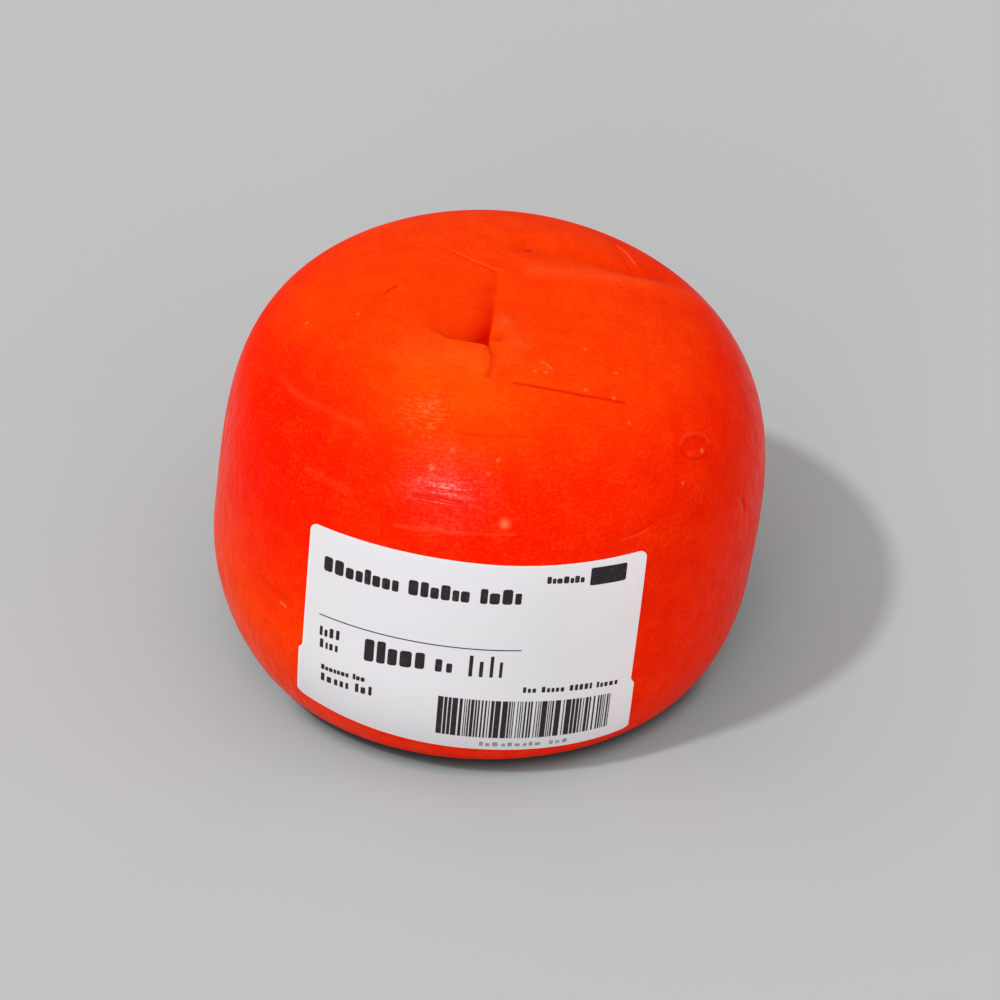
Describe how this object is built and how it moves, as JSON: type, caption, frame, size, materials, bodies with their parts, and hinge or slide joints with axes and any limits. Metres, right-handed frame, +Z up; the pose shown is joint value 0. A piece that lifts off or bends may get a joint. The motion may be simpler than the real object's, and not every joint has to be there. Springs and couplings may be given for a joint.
{
  "type": "mimolette cheese",
  "caption": "Whole squat ball of hard orange cheese with a glossy waxed rind, folded crown, flat foot and a paper label on its lower front.",
  "frame": {"origin": "middle of the flat foot that the cheese rests on, on the floor", "axes": "+Z up through the crown, -Y towards the labelled front, +X to the right of the label"},
  "size_m": [0.1563, 0.1565, 0.1186],
  "materials": {
    "rind": "semi-gloss orange wax",
    "label_paper": null
  },
  "bodies": {
    "root": {"cheese": "rind", "label": "label_paper"}
  },
  "joints": []
}
